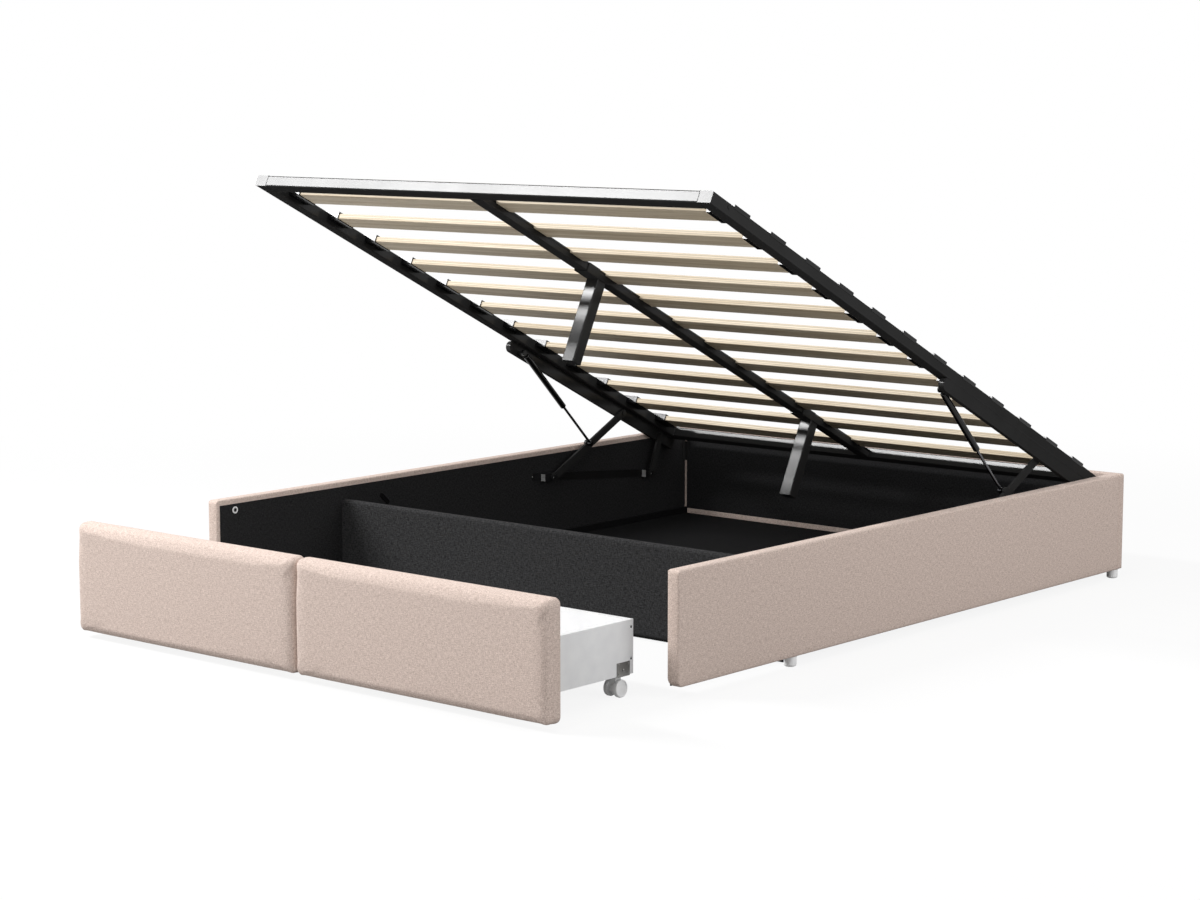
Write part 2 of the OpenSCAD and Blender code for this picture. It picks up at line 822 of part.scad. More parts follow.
module gas_rod(side) {
  inner = gas_l - rod_in;
  color("#2a2a2a") gas_pose(side) union() {
    turned_y() translate([0, inner]) square([rod_d / 2, gas_len - inner]);
    turned_y() translate([0, inner]) square([gas_bore / 2 - pin_fit, piston_l]);
    turned_y() translate([0, gas_len - eye_d / 2 - 8]) square([eye_w / 2 + collar_over, 10]);
    rod_x([gas_len, 0], -eye_w / 2, eye_w, eye_d);
    rod_x([gas_len, 0], -eye_w / 2 - head_t - 1, head_t + 2, eye_d * 0.7);
  }
}

// ---- drawers, drawn for the right-hand side ----

// crowned pad: rings of one rounded outline, shrinking from the back edge to the middle
module pad_form(w, h) {
  k = 8;
  rings = concat(
    [for (a = [0, 45, 90]) [7 * (1 - sin(a)), -7 * (1 - cos(a))]],
    [for (a = [0 : 15 : 75]) [pad_r * (1 - cos(a)),
      -(pad_t - pad_crown - pad_r) - pad_r * sin(a)]],
    [for (f = [0 : 0.125 : 1]) let (d = pad_r + f * (h / 2 - pad_r - 3))
      [d, -(pad_t - pad_crown) - pad_crown * sin(90 * pow(f, 0.6))]]
  );
  n = 4 * (k + 1);
  function spot(i, d) =
    let (q = floor(i / (k + 1)), a = 90 * q + 90 * (i % (k + 1)) / k,
      r = max(pad_corner - d, 2),
      sx = (q == 0 || q == 3) ? 1 : -1,
      sz = q < 2 ? 1 : -1)
    [sx * (w / 2 - d - r) + r * cos(a), sz * (h / 2 - d - r) + r * sin(a)];
  pts = [for (g = rings, i = [0 : n - 1]) let (c = spot(i, g[0])) [c.x, g[1], c.y]];
  last = len(rings) - 1;
  mid = [[0, rings[0][1], 0], [0, rings[last][1], 0]];
  sides = [for (j = [0 : last - 1], i = [0 : n - 1], t = [0, 1])
    let (a = j * n + i, b = j * n + (i + 1) % n)
    t == 0 ? [a, b, b + n] : [a, b + n, a + n]];
  ends = [for (i = [0 : n - 1], t = [0, 1])
    t == 0 ? [len(pts), (i + 1) % n, i]
           : [len(pts) + 1, last * n + i, last * n + (i + 1) % n]];
  polyhedron(points = concat(pts, mid), faces = concat(sides, ends));
}

module front_pad(side) {
  w = pad_x1 - pad_x0;
  color("#cdb9ac") on_side(side) difference() {
    translate([(pad_x0 + pad_x1) / 2, y_box, pad_z + pad_h / 2]) pad_form(w, pad_h);
    board_block();
  }
}

module board_block() {
  translate([pad_x0 + board_in, y_box - board_t, pad_z + board_in])
    cube([pad_x1 - pad_x0 - 2 * board_in, board_t, pad_h - 2 * board_in]);
}

module front_board(side) {
  color("#b79a78") on_side(side) board_block();
}

module drawer_box(side) {
  color("#f4f4f2") on_side(side) difference() {
    translate([box_x0, y_box, box_z]) cube([box_x1 - box_x0, box_l, box_h]);
    translate([box_x0 + box_t, y_box + box_t, box_z - 1])
      cube([box_x1 - box_x0 - 2 * box_t, box_l - 2 * box_t, box_h + 2]);
    for (x = [box_x0 - 1, box_x1 - screw_deep], z = [box_z + 0.3 * box_h, box_z + 0.87 * box_h])
      rod_x([y_box + box_l - box_t / 2, z], x, screw_deep + 1, screw_d);
  }
}

module drawer_base(side) {
  color("#f4f4f2") on_side(side) translate([box_x0 + box_t, y_box + box_t, base_z])
    cube([box_x1 - box_x0 - 2 * box_t, box_l - 2 * box_t, base_board_t]);
}

// places of the four casters of one drawer: [x, y, way to the drawer's side]
caster_spots = [
  [box_x1, y_box + box_l - caster_end, 1], [box_x1, y_box + caster_front, 1],
  [box_x0, y_box + box_l - caster_end, -1], [box_x0, y_box + caster_front, -1]
];

// one caster's frame: origin at floor level below the drawer side, X out of the drawer
module caster_at(c) {
  translate([c[0], c[1], 0]) mirror([c[2] < 0 ? 1 : 0, 0, 0]) children();
}

module caster_plates(side) {
  color("#6f6f70") on_side(side) for (c = caster_spots) caster_at(c) {
    translate([0, -plate_w / 2, box_z - plate_t]) cube([plate_t, plate_w, plate_h]);
    translate([-2 * caster_in, -plate_w / 2, box_z - plate_t])
      cube([2 * caster_in + 1, plate_w, plate_t]);
    for (y = [-plate_w / 2 + 6, plate_w / 2 - 6])
      rod_x([y, box_z + plate_h - 8], plate_t - 0.5, 1.5, plate_screw_d);
    rod_x([0, box_z + plate_h / 2 - plate_t], plate_t - 0.5, 1.5, plate_screw_d + 1);
  }
}

module caster_hoods(side) {
  color("#efefed") on_side(side) for (c = caster_spots) caster_at(c) translate([-caster_in, 0, 0]) {
    along_x(-hood_w / 2, hood_w) union() {
      translate([0, axle_z]) circle(d = hood_d);
      translate([-neck_w / 2, axle_z]) square([neck_w, box_z - plate_t - axle_z]);
    }
    rod_x([0, axle_z], -wheel_x - wheel_w + 1, 2 * (wheel_x + wheel_w - 1), axle_d);
  }
}

// one pair of wheels on a common axle
module wheels(side, i) {
  c = caster_spots[i - 1];
  color("#f2f2f0") on_side(side) caster_at(c) translate([-caster_in, 0, axle_z])
    for (m = [0, 1]) mirror([m, 0, 0]) translate([wheel_x, 0, 0]) rotate([0, 90, 0])
      rotate_extrude() difference() {
        translate([axle_d / 2 + wheel_fit, 0]) square([(wheel_d - axle_d) / 2 - wheel_fit, wheel_w]);
        translate([wheel_d / 2, 0]) mirror([1, 0]) corner_cut(wheel_r);
        translate([wheel_d / 2, wheel_w]) rotate(180) corner_cut(wheel_r);
        translate([0, wheel_w - wheel_dish]) square([wheel_d / 2 - wheel_r - 1, wheel_dish + 1]);
      }
}

// ---- one line per part ----

side_rail("left");  // side_rail_left
side_rail("right");  // side_rail_right
rail_lining("left");  // rail_lining_left
rail_lining("right");  // rail_lining_right
head_panel();
head_lining();
partition();
storage_floor();
floor_battens();
floor_cleats();
feet();
corner_angles();
rail_inserts();
rail_tie();
base_bar("left");  // base_bar_left
base_bar("right");  // base_bar_right
end_tube(0);  // foot_tube
end_tube(plat_l - tube_w);  // head_tube
side_tube("left");  // left_tube
side_tube("right");  // right_tube
tube_plugs();
centre_beam();
beam_strip();
legs();
leg_brackets();
slats();
slat_holders("left");  // slat_holders_left
slat_holders("right");  // slat_holders_right
frame_bolts();
lift_bar("left");  // lift_bar_left
lift_bar("right");  // lift_bar_right
front_arm("left");  // front_arm_left
front_arm("right");  // front_arm_right
rear_arm("left");  // rear_arm_left
rear_arm("right");  // rear_arm_right
gas_cylinder("left");  // gas_cylinder_left
gas_cylinder("right");  // gas_cylinder_right
gas_rod("left");  // gas_rod_left
gas_rod("right");  // gas_rod_right
front_pad("left");  // front_pad_left
front_board("left");  // front_board_left
drawer_box("left");  // drawer_box_left
drawer_base("left");  // drawer_base_left
caster_plates("left");  // caster_plates_left
caster_hoods("left");  // caster_hoods_left
front_pad("right");  // front_pad_right
front_board("right");  // front_board_right
drawer_box("right");  // drawer_box_right
drawer_base("right");  // drawer_base_right
caster_plates("right");  // caster_plates_right
caster_hoods("right");  // caster_hoods_right
wheels("left", 1);  // wheels_left_1
wheels("left", 2);  // wheels_left_2
wheels("left", 3);  // wheels_left_3
wheels("left", 4);  // wheels_left_4
wheels("right", 1);  // wheels_right_1
wheels("right", 2);  // wheels_right_2
wheels("right", 3);  // wheels_right_3
wheels("right", 4);  // wheels_right_4
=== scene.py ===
import math

import bmesh
import bpy
from mathutils import Matrix, Quaternion, Vector, noise


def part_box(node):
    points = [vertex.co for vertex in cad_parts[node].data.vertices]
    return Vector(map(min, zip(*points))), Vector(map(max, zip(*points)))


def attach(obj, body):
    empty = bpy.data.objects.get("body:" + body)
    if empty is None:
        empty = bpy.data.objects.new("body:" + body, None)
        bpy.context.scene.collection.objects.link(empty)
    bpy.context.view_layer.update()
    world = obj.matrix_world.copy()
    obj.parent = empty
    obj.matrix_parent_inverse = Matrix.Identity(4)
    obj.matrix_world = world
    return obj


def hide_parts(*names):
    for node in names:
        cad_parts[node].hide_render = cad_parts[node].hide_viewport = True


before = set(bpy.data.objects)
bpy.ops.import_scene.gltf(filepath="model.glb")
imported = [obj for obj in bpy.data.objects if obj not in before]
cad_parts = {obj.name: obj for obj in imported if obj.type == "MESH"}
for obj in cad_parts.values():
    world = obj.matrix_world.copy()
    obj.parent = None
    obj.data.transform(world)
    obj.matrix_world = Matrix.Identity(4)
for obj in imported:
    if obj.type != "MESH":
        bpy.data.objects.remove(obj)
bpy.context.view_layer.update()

MM = 0.001
SIDES = ("left", "right")
TILT = math.radians(26)                                # how far the platform is lifted at rest
HAIR = 0.05 * MM                                       # a step too small to see, for sharp changes of depth
WHITE = (1, 1, 1, 1)
SHOWN_RAYS = ("Is Camera Ray", "Is Glossy Ray", "Is Transmission Ray")

# ---------------------------------------------------------------- camera and light

scene = bpy.context.scene

cam_data = bpy.data.cameras.new("photo_camera")
cam_data.sensor_width = 36
cam_data.lens = 81.202
cam_data.clip_end = 60
cam = bpy.data.objects.new("photo_camera", cam_data)
cam.location = (4.6622, -5.58385, 1.4294)
cam.rotation_euler = (math.radians(90 - 7.8424), 0, math.radians(40.4904))
scene.collection.objects.link(cam)
scene.camera = cam
scene.view_settings.view_transform = "Standard"


def softbox(name, place, aim, size, power, roll=0):
    """A rectangular lamp that looks at a point; roll turns it about its own axis, in degrees."""
    data = bpy.data.lights.new(name, "AREA")
    data.shape = "RECTANGLE"
    data.size, data.size_y = size
    data.energy = power
    lamp = bpy.data.objects.new(name, data)
    lamp.location = place
    look = (Vector(aim) - Vector(place)).to_track_quat("-Z", "Y")
    lamp.rotation_euler = (look @ Quaternion((0, 0, 1), math.radians(roll))).to_euler()
    scene.collection.objects.link(lamp)


# the key is long, narrow and rolled, so that the foot tube mirrors it from end to end
softbox("key_light", (-3.4, -3.06, 3.88), (0, -0.65, 1.15), (2.7, 0.46), 320, 37.6)
softbox("front_light", (1.3, -5.4, 3.0), (0, 0, 0.2), (3.6, 2.4), 84)
softbox("side_light", (5.0, 0.9, 2.2), (0, 0, 0.2), (3.0, 2.0), 106)
softbox("top_light", (0.2, 0.1, 4.6), (0, 0, 0), (4.0, 4.0), 50)


def shown(tree):
    """1 on the rays that show the backdrop: to the camera, off a shiny face and through a clear one."""
    path = tree.nodes.new("ShaderNodeLightPath")
    found = path.outputs[SHOWN_RAYS[0]]
    for name in SHOWN_RAYS[1:]:
        either = tree.nodes.new("ShaderNodeMath")
        either.operation = "MAXIMUM"
        tree.links.new(found, either.inputs[0])
        tree.links.new(path.outputs[name], either.inputs[1])
        found = either.outputs[0]
    return found


def background(tree, colour, strength):
    made = tree.nodes.new("ShaderNodeBackground")
    made.inputs["Color"].default_value = colour
    made.inputs["Strength"].default_value = strength
    return made.outputs[0]


world = bpy.data.worlds.new("studio")
scene.world = world
world.use_nodes = True
wt = world.node_tree
wt.nodes.clear()
w_mix = wt.nodes.new("ShaderNodeMixShader")
wt.links.new(shown(wt), w_mix.inputs[0])
wt.links.new(background(wt, (1.0, 0.985, 0.97, 1), 0.26), w_mix.inputs[1])     # the room's light on the bed
wt.links.new(background(wt, WHITE, 1.0), w_mix.inputs[2])                      # what is seen behind it
wt.links.new(w_mix.outputs[0], wt.nodes.new("ShaderNodeOutputWorld").inputs[0])


# ---------------------------------------------------------------- material building

def rgb(r, g, b):
    """A colour given as it is seen, 0 to 255, as Blender's linear values."""
    def lin(v):
        v /= 255
        return v / 12.92 if v <= 0.04045 else ((v + 0.055) / 1.055) ** 2.4
    return (lin(r), lin(g), lin(b), 1)


class Finish:
    """One procedural material, put together node by node."""

    def __init__(self, name, **values):
        self.mat = bpy.data.materials.new(name)
        self.mat.use_nodes = True
        self.tree = self.mat.node_tree
        self.tree.nodes.clear()
        out = self.node("OutputMaterial")
        self.bsdf = self.node("BsdfPrincipled")
        self.tree.links.new(self.bsdf.outputs[0], out.inputs[0])
        for key, value in values.items():
            self.bsdf.inputs[key.replace("_", " ")].default_value = value

    def node(self, kind, **props):
        made = self.tree.nodes.new("ShaderNode" + kind)
        for key, value in props.items():
            setattr(made, key, value)
        return made

    def put(self, socket, value):
        if isinstance(value, bpy.types.NodeSocket):
            self.tree.links.new(value, socket)
        elif value is not None:
            socket.default_value = value

    def math(self, op, a, b=None, c=None):
        made = self.node("Math", operation=op)
        for socket, value in zip(made.inputs, (a, b, c)):
            self.put(socket, value)
        return made.outputs[0]

    def mix(self, factor, a, b):
        made = self.node("Mix", data_type="FLOAT")
        self.put(made.inputs[0], factor)
        self.put(made.inputs[2], a)
        self.put(made.inputs[3], b)
        return made.outputs[0]

    def tint(self, factor, a, b, blend="MIX"):
        made = self.node("Mix", data_type="RGBA", blend_type=blend)
        self.put(made.inputs[0], factor)
        self.put(made.inputs[6], a)
        self.put(made.inputs[7], b)
        return made.outputs[2]

    def place(self):
        """The point on the object, in metres."""
        return self.node("TexCoord").outputs["Object"]

    def normal(self):
        return self.node("TexCoord").outputs["Normal"]

    def split(self, vector):
        made = self.node("SeparateXYZ")
        self.put(made.inputs[0], vector)
        return made.outputs

    def join(self, x, y):
        made = self.node("CombineXYZ")
        self.put(made.inputs[0], x)
        self.put(made.inputs[1], y)
        return made.outputs[0]

    def scaled(self, vector, scale, turn=(0, 0, 0), shift=(0, 0, 0)):
        made = self.node("Mapping", vector_type="POINT")
        self.put(made.inputs["Vector"], vector)
        made.inputs["Location"].default_value = shift
        made.inputs["Rotation"].default_value = turn
        made.inputs["Scale"].default_value = scale
        return made.outputs[0]

    def cloud(self, vector, scale=1.0, detail=2.0, rough=0.5):
        made = self.node("TexNoise")
        self.put(made.inputs["Vector"], vector)
        made.inputs["Scale"].default_value = scale
        made.inputs["Detail"].default_value = detail
        made.inputs["Roughness"].default_value = rough
        return made.outputs[0]

    def curve(self, value, *stops):
        """A value mapped through (place, colour or grey) stops."""
        made = self.node("ValToRGB")
        ramp = made.color_ramp
        while len(ramp.elements) < len(stops):
            ramp.elements.new(1.0)
        for element, (at, colour) in zip(ramp.elements, stops):
            element.position = at
            if not isinstance(colour, tuple):
                colour = (colour, colour, colour, 1)
            element.color = colour
        self.put(made.inputs[0], value)
        return made.outputs[0]

    def facing_uv(self):
        """Flat coordinates in the plane that a face lies nearest to, in metres."""
        size = self.node("VectorMath", operation="ABSOLUTE")
        self.put(size.inputs[0], self.normal())
        nx, ny, nz = self.split(size.outputs[0])
        px, py, pz = self.split(self.place())
        to_side = self.math("GREATER_THAN", nx, self.math("MAXIMUM", ny, nz))
        to_top = self.math("GREATER_THAN", nz, self.math("MAXIMUM", nx, ny))
        return self.mix(to_side, px, py), self.mix(to_top, pz, py)

    def bump(self, height, depth, strength):
        made = self.node("Bump")
        made.inputs["Strength"].default_value = strength
        made.inputs["Distance"].default_value = depth
        self.put(made.inputs["Height"], height)
        self.put(self.bsdf.inputs["Normal"], made.outputs[0])

    def colour(self, value):
        self.put(self.bsdf.inputs["Base Color"], value)

    def rough(self, value):
        self.put(self.bsdf.inputs["Roughness"], value)


# ---------------------------------------------------------------- cloth

def woven(name, dark, light, pitch, slub, fleck, depth, **values):
    """A plain weave: threads of two directions, thick and thin, with flecks of two near tones.
    slub is the share of the threads in the tone; pitch and fleck are sizes, depth is the relief."""
    f = Finish(name, Roughness=0.95, **values)
    u, v = f.facing_uv()
    across = f.math("SINE", f.math("MULTIPLY", u, 2 * math.pi / pitch))
    along = f.math("SINE", f.math("MULTIPLY", v, 2 * math.pi / pitch))
    knit = f.math("MULTIPLY", across, along)
    fine, long = 1 / (1.6 * pitch), 1 / (8 * pitch)
    warp = f.cloud(f.join(f.math("MULTIPLY", u, fine), f.math("MULTIPLY", v, long)), detail=1.0)
    weft = f.cloud(f.join(f.math("MULTIPLY", u, long), f.math("MULTIPLY", v, fine)), detail=1.0)
    speck = f.cloud(f.join(u, v), scale=1 / fleck, rough=0.7)
    threads = f.math("ADD", warp, weft)
    tone = f.math("ADD", f.math("MULTIPLY", threads, 0.5 * slub), f.math("MULTIPLY", speck, 1 - slub))
    f.colour(f.curve(tone, (0.36, dark), (0.64, light)))
    relief = f.math("MULTIPLY_ADD", threads, 0.5, f.math("MULTIPLY", knit, 0.3))
    f.bump(f.math("ADD", relief, speck), depth, 0.9)
    return f


def painted_foot_shade(f, foot, top):
    """A cloth with painted shade along its foot: it turns black below a height, and fades in between foot and
    top.
    """
    tone = f.bsdf.inputs["Base Color"].links[0].from_socket
    above = f.curve(f.split(f.place())[2], (foot, 0.0), (top, 1.0))
    f.colour(f.tint(above, rgb(12, 12, 12), tone))
    return f


linen = woven("linen_weave", rgb(174, 152, 141), rgb(244, 227, 217), 1.3 * MM, 0.45, 2.0 * MM, 0.3 * MM,
              Sheen_Weight=0.08, Sheen_Roughness=0.5, Specular_IOR_Level=0.12).mat
lining = woven("lining_weave", rgb(22, 22, 23), rgb(50, 50, 51), 1.1 * MM, 0.6, 4 * MM, 0.3 * MM,
               Specular_IOR_Level=0.1).mat
# the partition's foot is painted black with painted shade, from 10.5 to 12.5 mm up
heather = painted_foot_shade(woven("partition_weave", rgb(22, 22, 23), rgb(68, 68, 69), 1.6 * MM, 0.6, 3.6 * MM,
                       0.35 * MM, Specular_IOR_Level=0.1), 0.0105, 0.0125).mat
floor_cloth = woven("floor_weave", rgb(7, 7, 8), rgb(20, 20, 21), 1.6 * MM, 0.4, 5 * MM, 0.3 * MM,
                    Specular_IOR_Level=0.1).mat


# ---------------------------------------------------------------- wood

def wood(name, dark, light, grain_axis, plies=None):
    """Planed wood with its grain along one axis, and glued plies on its edges if it has them.
    plies are their thickness and the height of the lowest face, in a frame tilted with the platform."""
    f = Finish(name, Roughness=0.55, Specular_IOR_Level=0.3)
    spot = f.place()
    stretch = [70.0, 70.0, 70.0]
    stretch[grain_axis] = 1.4
    grain = f.cloud(f.scaled(spot, stretch), detail=6.0, rough=0.65)
    fibre_scale = [1100.0, 1100.0, 1100.0]
    fibre_scale[grain_axis] = 10.0
    fibre = f.cloud(f.scaled(spot, fibre_scale))
    tone = f.math("MULTIPLY_ADD", fibre, 0.35, f.math("MULTIPLY", grain, 0.65))
    col = f.curve(tone, (0.34, dark), (0.66, light))
    if plies:
        thick, foot = plies
        height = f.split(f.scaled(spot, (1, 1, 1), turn=(TILT, 0, 0), shift=(0, 0, -foot)))[2]
        in_ply = f.math("FRACT", f.math("DIVIDE", height, thick))
        in_pair = f.math("FRACT", f.math("DIVIDE", height, 2 * thick))
        glue_line = f.curve(in_ply, (0.0, 0.6), (0.16, 0.66), (0.26, 1.0), (0.84, 1.0), (1.0, 0.6))
        veneer = f.curve(in_pair, (0.49, 0.93), (0.51, 1.0))
        side = f.split(f.scaled(f.normal(), (1, 1, 1), turn=(TILT, 0, 0)))[1]
        on_edge = f.curve(f.math("ABSOLUTE", side), (0.55, 0.0), (0.8, 1.0))
        edge = f.tint(1.0, f.tint(1.0, col, glue_line, "MULTIPLY"), veneer, "MULTIPLY")
        col = f.tint(on_edge, col, edge)
    f.colour(col)
    f.bump(tone, 0.3 * MM, 0.7)
    return f.mat


def level(v):
    """A point turned so that the lifted platform lies flat."""
    return Matrix.Rotation(TILT, 3, "X") @ v


slat_foot = min(level(v.co).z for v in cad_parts["slats"].data.vertices)
slat_wood = wood("slat_birch", rgb(186, 166, 134), rgb(240, 228, 206), 0, (5 * MM, slat_foot))
raw_wood = wood("raw_pine", rgb(196, 165, 118), rgb(226, 200, 156), 1)


# ---------------------------------------------------------------- steel

def coated(name, base, low, high, peel, **values):
    """Sprayed and baked paint or plating: a fine orange peel, and roughness that varies from low to high."""
    f = Finish(name, **values)
    spot = f.place()
    wide = f.cloud(spot, scale=9.0, detail=3.0)
    fine = f.cloud(spot, scale=620.0)
    f.colour(f.curve(wide, (0.3, tuple(c * 0.8 for c in base[:3]) + (1,)), (0.7, base)))
    f.rough(f.mix(wide, low, high))
    f.bump(fine, 0.08 * MM, peel)
    return f.mat


def bar_finish_painted_reflection():
    """The base bars: black paint, with a painted reflection, light grey and streaked, on the faces that look
    squarely to the bed's foot.
    """
    f = Finish("black_bar_bare_ends", Roughness=0.45, Specular_IOR_Level=0.15)
    facing = f.split(f.normal())[1]
    reflection_streaks = f.cloud(f.scaled(f.place(), (60, 60, 900)))
    painted_reflection = f.curve(reflection_streaks, (0.35, rgb(150, 150, 150)), (0.65, rgb(186, 186, 185)))
    painted = f.curve(f.cloud(f.place(), scale=9.0), (0.3, rgb(14, 14, 14)), (0.7, rgb(20, 20, 21)))
    # the faces turned to the bed's foot get the painted reflection in place of the black paint
    f.colour(f.tint(f.math("LESS_THAN", facing, -0.97), painted, painted_reflection))
    f.bump(f.cloud(f.place(), scale=620.0), 0.08 * MM, 0.12)
    return f.mat


black_steel = coated("black_powder_coat", rgb(38, 38, 38), 0.15, 0.2, 0.12, Metallic=1.0,
                     Specular_Tint=(0.2, 0.2, 0.2, 1), Sheen_Weight=0.07, Sheen_Roughness=0.9)
cylinder_black = coated("black_gloss_paint", rgb(16, 16, 17), 0.16, 0.2, 0.1, Specular_IOR_Level=0.25)
rod_steel = coated("dark_chrome_rod", rgb(96, 97, 100), 0.14, 0.2, 0.1, Metallic=1.0)
zinc_steel = coated("zinc_plate", rgb(150, 150, 148), 0.3, 0.42, 0.5, Metallic=1.0)


# ---------------------------------------------------------------- plastic and board

def moulded(name, low, high, roughness, grain=0.5, **values):
    """A smooth moulded or laid-on surface: a fine grain and slow tone changes."""
    f = Finish(name, **values)
    spot = f.place()
    wide = f.cloud(spot, scale=25.0, detail=3.0)
    fine = f.cloud(spot, scale=1500.0, detail=1.0)
    f.colour(f.curve(wide, (0.3, low), (0.7, high)))
    f.rough(f.mix(fine, roughness * 0.9, roughness * 1.15))
    f.bump(fine, 0.06 * MM, grain)
    return f.mat


def insert_finish():
    """The threaded inserts: a white flange round the bore, which is coloured as dark steel thread darkened
    further with painted shade.
    """
    lo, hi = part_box("rail_inserts")
    f = Finish("white_threaded_insert", Roughness=0.4)
    off_axis = f.node("VectorMath", operation="LENGTH")
    axis = (0, -(lo.y + hi.y) / 2, -(lo.z + hi.z) / 2)
    f.put(off_axis.inputs[0], f.scaled(f.place(), (0, 1, 1), shift=axis))
    grain = f.cloud(f.place(), scale=400.0)
    flange = f.curve(grain, (0.3, rgb(240, 240, 240)), (0.7, rgb(252, 252, 252)))
    turns = f.cloud(f.scaled(f.place(), (900, 40, 40)))
    # the bore is painted dark: the steel thread's own colour, and painted shade in the hole
    thread_and_painted_shade = f.curve(turns, (0.4, rgb(18, 18, 18)), (0.6, rgb(52, 52, 50)))
    on_flange = f.curve(off_axis.outputs["Value"], (0.0042, 0.0), (0.0048, 1.0))
    f.colour(f.tint(on_flange, thread_and_painted_shade, flange))
    f.bump(grain, 0.05 * MM, 0.3)
    return f.mat


black_plastic = moulded("black_nylon", rgb(16, 16, 17), rgb(24, 24, 25), 0.14, 0.1, Specular_IOR_Level=0.18)
white_plastic = moulded("white_nylon", rgb(244, 245, 246), rgb(251, 251, 251), 0.4)
white_board = moulded("white_melamine", rgb(234, 235, 237), rgb(241, 242, 243), 0.38)

# by the material names of the solids, and for some nodes by their own names
finishes = {
    "linen": linen, "lining": lining, "floor_cloth": floor_cloth, "raw_wood": raw_wood,
    "white_plastic": white_plastic, "black_steel": black_steel, "black_plastic": black_plastic,
    "slat_wood": slat_wood, "zinc_steel": zinc_steel, "cylinder_black": cylinder_black,
    "rod_steel": rod_steel, "white_board": white_board,
}
# the base bars get black paint with a painted reflection on their foot-facing faces
bar_steel_painted_reflection = bar_finish_painted_reflection()
own_finish = {"partition": heather, "rail_inserts": insert_finish(), "frame_bolts": black_steel,
              "base_bar_left": bar_steel_painted_reflection, "base_bar_right": bar_steel_painted_reflection}
for node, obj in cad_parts.items():
    for holder in obj.material_slots:
        holder.material = own_finish.get(node, finishes[holder.material.name.split(".")[0]])

# ---------------------------------------------------------------- floor

FLOOR_HALF = 18                                        # half the side of the floor, in metres
FLOOR_TO_BED, FLOOR_TO_EYE = 0.32, 0.9                 # its grey in its light on the bed, and as it is seen
SHADOW_FROM, SHADOW_TO = 1.6, 4.2                      # shadows fade to plain white over these distances

floor_mat = bpy.data.materials.new("studio_floor")
floor_mat.use_nodes = True
ft = floor_mat.node_tree
ft.nodes.clear()
f_seen = shown(ft)


def ranged(value, **settings):
    """A value mapped from one range to another."""
    made = ft.nodes.new("ShaderNodeMapRange")
    for key, number in settings.items():
        made.inputs[key.replace("_", " ")].default_value = number
    ft.links.new(value, made.inputs["Value"])
    return made


f_grey = ranged(f_seen, To_Min=FLOOR_TO_BED, To_Max=FLOOR_TO_EYE)
f_lit = ft.nodes.new("ShaderNodeBsdfDiffuse")
ft.links.new(f_grey.outputs[0], f_lit.inputs["Color"])
f_white = ft.nodes.new("ShaderNodeEmission")
f_white.inputs["Color"].default_value = WHITE
f_white.inputs["Strength"].default_value = 1.0
f_off = ft.nodes.new("ShaderNodeVectorMath")
f_off.operation = "LENGTH"
ft.links.new(ft.nodes.new("ShaderNodeTexCoord").outputs["Object"], f_off.inputs[0])
f_fade = ranged(f_off.outputs["Value"], From_Min=SHADOW_FROM, From_Max=SHADOW_TO, To_Min=0.88, To_Max=1.0)
f_fade.interpolation_type = "SMOOTHSTEP"
f_share = ft.nodes.new("ShaderNodeMath")
f_share.operation = "MULTIPLY"
ft.links.new(f_seen, f_share.inputs[0])
ft.links.new(f_fade.outputs[0], f_share.inputs[1])
f_mix = ft.nodes.new("ShaderNodeMixShader")
ft.links.new(f_share.outputs[0], f_mix.inputs[0])
ft.links.new(f_lit.outputs[0], f_mix.inputs[1])
ft.links.new(f_white.outputs[0], f_mix.inputs[2])
ft.links.new(f_mix.outputs[0], ft.nodes.new("ShaderNodeOutputMaterial").inputs[0])

floor_mesh = bpy.data.meshes.new("floor")
floor_mesh.from_pydata([(x * FLOOR_HALF, y * FLOOR_HALF, 0) for x, y in ((-1, -1), (1, -1), (1, 1), (-1, 1))],
                       [], [(0, 1, 2, 3)])
floor_mesh.materials.append(floor_mat)
floor = bpy.data.objects.new("floor", floor_mesh)
scene.collection.objects.link(floor)


# ---------------------------------------------------------------- mesh building

def piece(name, bm, mat, body, sharp=None):
    """A mesh as a finished object that rides on a body; edges over sharp degrees stay crisp."""
    mesh = bpy.data.meshes.new(name)
    bmesh.ops.recalc_face_normals(bm, faces=bm.faces)
    bm.to_mesh(mesh)
    bm.free()
    mesh.materials.append(mat)
    for p in mesh.polygons:
        p.use_smooth = True
    if sharp:
        mesh.set_sharp_from_angle(angle=math.radians(sharp))
    obj = bpy.data.objects.new(name, mesh)
    scene.collection.objects.link(obj)
    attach(obj, body)
    return obj


def loft(rows, close_first=True, bm=None):
    """Closed rings of points, joined one to the next; gives the mesh and the first ring's points."""
    bm = bm or bmesh.new()
    made = [[bm.verts.new(p) for p in row] for row in rows]
    for a, b in zip(made, made[1:]):
        for i in range(len(a)):
            j = (i + 1) % len(a)
            bm.faces.new((a[i], a[j], b[j], b[i]))
    if close_first:
        bm.faces.new(made[0])
    bm.faces.new(list(reversed(made[-1])))
    return bm, made[0]


def ease(t):
    """0 to 1, with a soft start and end."""
    t = min(max(t, 0.0), 1.0)
    return t * t * (3 - 2 * t)


def rim(t, r):
    """How far a rounded edge of radius r is drawn in, at distance t from its end."""
    return r - math.sqrt(max(r * r - (r - t) ** 2, 0.0)) if t < r else 0.0


def wave(x, y, seed):
    """Smooth noise from -1 to 1, one bump to a unit."""
    return noise.noise(Vector((x, y, seed * 7.31)))


def spaced(a, b, step):
    """Places from a to b, as near to step apart as an even division gives."""
    n = max(int(round((b - a) / step)), 1)
    return [a + (b - a) * i / n for i in range(n + 1)]


